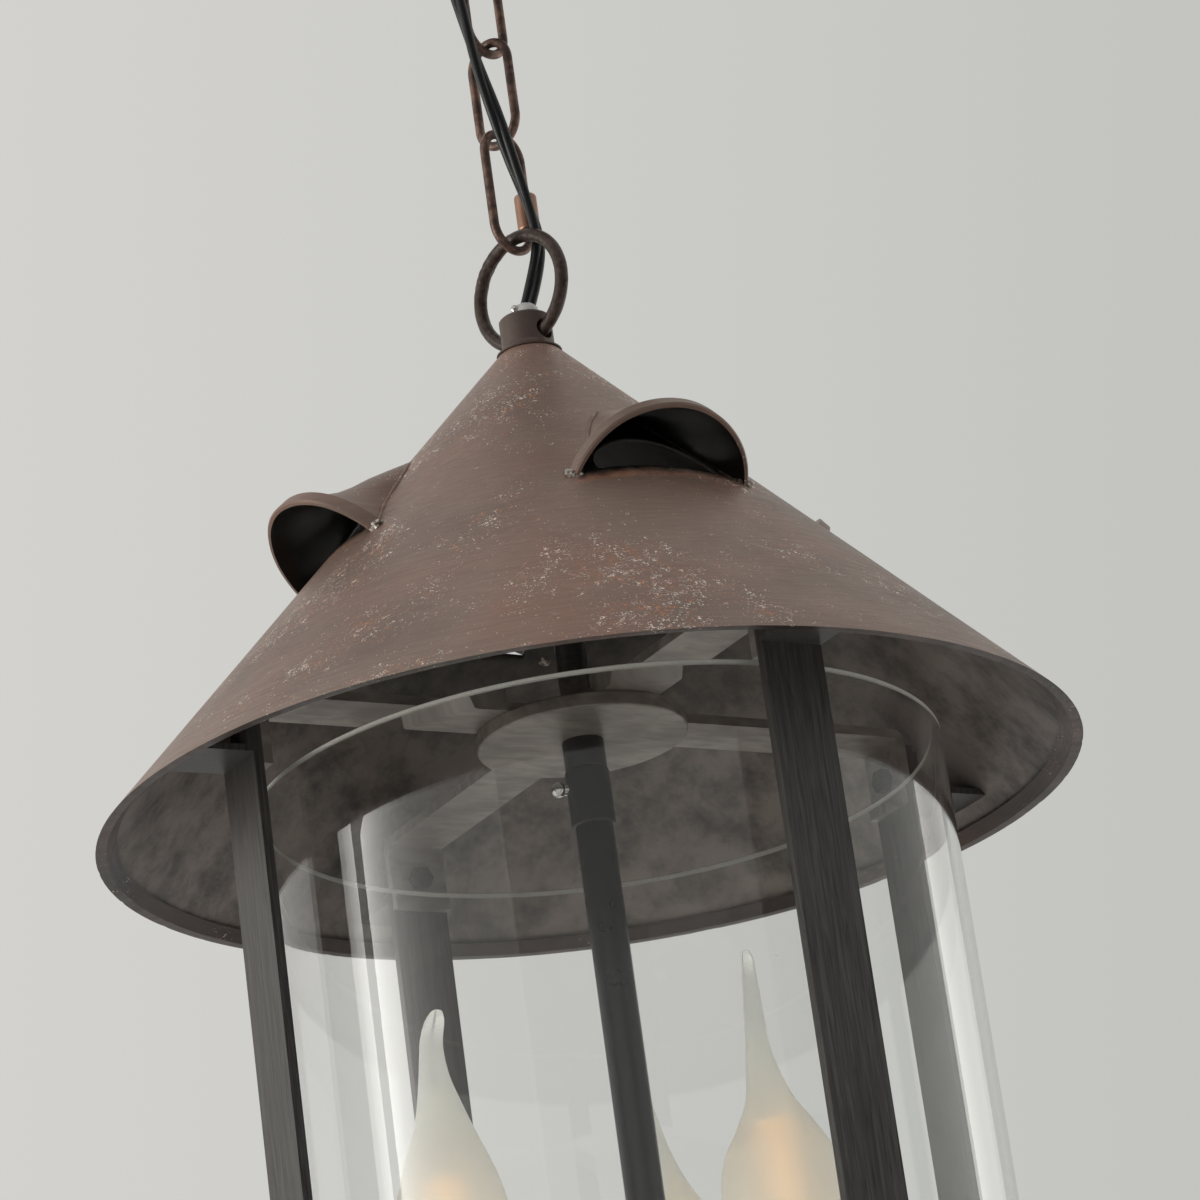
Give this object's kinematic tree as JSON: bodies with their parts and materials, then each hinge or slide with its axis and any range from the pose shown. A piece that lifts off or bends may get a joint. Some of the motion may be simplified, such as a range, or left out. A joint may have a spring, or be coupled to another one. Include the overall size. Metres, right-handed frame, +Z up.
{
  "type": "pendant lamp",
  "caption": "Lantern pendant: conical copper-finish roof with vent hoods, open glass cylinder between flat bars, candle bulbs inside, short chain, ring and ceiling canopy.",
  "frame": {"origin": "middle of the canopy, on the ceiling plane", "axes": "+Z up; -Y is the turn that the angles in the part start from; X to the right of -Y seen from outside"},
  "size_m": [0.2992, 0.2992, 0.6294],
  "materials": {
    "canopy_bronze": "satin antique copper lacquer",
    "strap_zinc": "zinc plate",
    "chain_copper": "antique copper plate, worn",
    "sleeve_copper": "bright copper plate",
    "ring_iron": "dark pitted bronze",
    "cord_black": "glossy black flexible cord",
    "grommet_black": "matte",
    "bushing_clear": "milky moulded plastic",
    "collar_copper": "brushed antique copper lacquer",
    "roof_copper": "brushed antique copper lacquer with worn edges",
    "hood_copper": "brushed antique copper lacquer",
    "bar_dark": "dark streaked lacquer on flat steel",
    "arm_pewter": "brushed pewter lacquer",
    "stem_steel": "plain threaded steel",
    "coupler_dark": "satin dark lacquer",
    "screw_chrome": "polished",
    "fixing_dark": "blackened steel",
    "rod_dark": "glossy dark lacquer",
    "glass_clear": "clear, ground rims",
    "tray_dark": "brushed antique copper lacquer, dark",
    "spider_dark": "dark lacquer",
    "candle_cream": "cream",
    "holder_black": "moulded",
    "bulb_frost": "frosted white glass",
    "bulb_plate": "nickel plate",
    "filament_amber": "amber phosphor coat, unlit"
  },
  "bodies": {
    "ceiling": {"ceiling_canopy": "canopy_bronze", "mounting_strap": "strap_zinc", "threaded_nipple": "strap_zinc", "canopy_loop": "canopy_bronze", "cord_grommet": "grommet_black", "chain_link_1": "chain_copper"},
    "hanger": {"chain_link_2": "chain_copper", "quick_link": "chain_copper", "hanging_ring": "ring_iron", "power_cord": "cord_black"},
    "link_sleeve": {"quick_link_sleeve": "sleeve_copper"},
    "lantern": {"cord_bushing": "bushing_clear", "neck_collar": "collar_copper", "roof_cone": "roof_copper", "vent_hood_1": "hood_copper", "vent_hood_2": "hood_copper", "vent_hood_3": "hood_copper", "vent_hood_4": "hood_copper", "side_bar_1": "bar_dark", "side_bar_2": "bar_dark", "side_bar_3": "bar_dark", "side_bar_4": "bar_dark", "roof_brackets": "bar_dark", "top_strap_x": "arm_pewter", "top_strap_y": "arm_pewter", "hub_disc": "arm_pewter", "base_hub": "arm_pewter", "hanger_stem": "stem_steel", "stem_nut": "stem_steel", "stem_stub": "coupler_dark", "stem_coupler": "coupler_dark", "bar_screws": "fixing_dark", "bar_nuts": "fixing_dark", "hub_screws": "fixing_dark", "centre_rod": "rod_dark", "glass_tray": "tray_dark", "candle_spider": "spider_dark", "drip_pan_1": "spider_dark", "drip_pan_2": "spider_dark", "drip_pan_3": "spider_dark", "candle_sleeve_1": "candle_cream", "candle_sleeve_2": "candle_cream", "candle_sleeve_3": "candle_cream", "lampholder_1": "holder_black", "lampholder_2": "holder_black", "lampholder_3": "holder_black"},
    "glass": {"glass_cylinder": "glass_clear"},
    "bulb_1": {"bulb_glass_1": "bulb_frost", "bulb_base_1": "bulb_plate", "bulb_filament_1": "filament_amber"},
    "bulb_2": {"bulb_glass_2": "bulb_frost", "bulb_base_2": "bulb_plate", "bulb_filament_2": "filament_amber"},
    "bulb_3": {"bulb_glass_3": "bulb_frost", "bulb_base_3": "bulb_plate", "bulb_filament_3": "filament_amber"},
    "side_screw": {"coupler_screw": "screw_chrome"},
    "finial": {"bottom_finial": "tray_dark"}
  },
  "joints": [
    {"name": "lamp_swing", "type": "hinge", "parent": "ceiling", "child": "hanger", "pos_m": [0, 0, -0.0897], "axis": [0.9613, 0.2756, 0], "range_deg": [-12, 12], "deforming": ["power_cord"]},
    {"name": "lantern_tip", "type": "hinge", "parent": "hanger", "child": "lantern", "pos_m": [0, 0, -0.1906], "axis": [0.2756, -0.9613, 0], "range_deg": [-8, 8], "deforming": ["power_cord"]},
    {"name": "sleeve_turn", "type": "hinge", "parent": "hanger", "child": "link_sleeve", "pos_m": [0.00769, 0.0022, -0.145], "axis": [0, 0, 1], "continuous": true},
    {"name": "glass_lift", "type": "slide", "parent": "lantern", "child": "glass", "axis": [0, 0, 1], "range_m": [0, 0.01]},
    {"name": "bulb_1_turn", "type": "hinge", "parent": "lantern", "child": "bulb_1", "pos_m": [-0.05878, 0.01346, -0.48], "axis": [0, 0, 1], "continuous": true},
    {"name": "bulb_2_turn", "type": "hinge", "parent": "lantern", "child": "bulb_2", "pos_m": [0.0135, -0.05218, -0.48], "axis": [0, 0, 1], "continuous": true},
    {"name": "bulb_3_turn", "type": "hinge", "parent": "lantern", "child": "bulb_3", "pos_m": [0.03753, 0.04317, -0.48], "axis": [0, 0, 1], "continuous": true},
    {"name": "side_screw_turn", "type": "hinge", "parent": "lantern", "child": "side_screw", "pos_m": [0, 0, -0.3415], "axis": [-0.9563, 0.2924, 0], "continuous": true},
    {"name": "finial_turn", "type": "hinge", "parent": "lantern", "child": "finial", "pos_m": [0, 0, -0.615], "axis": [0, 0, 1], "continuous": true}
  ]
}
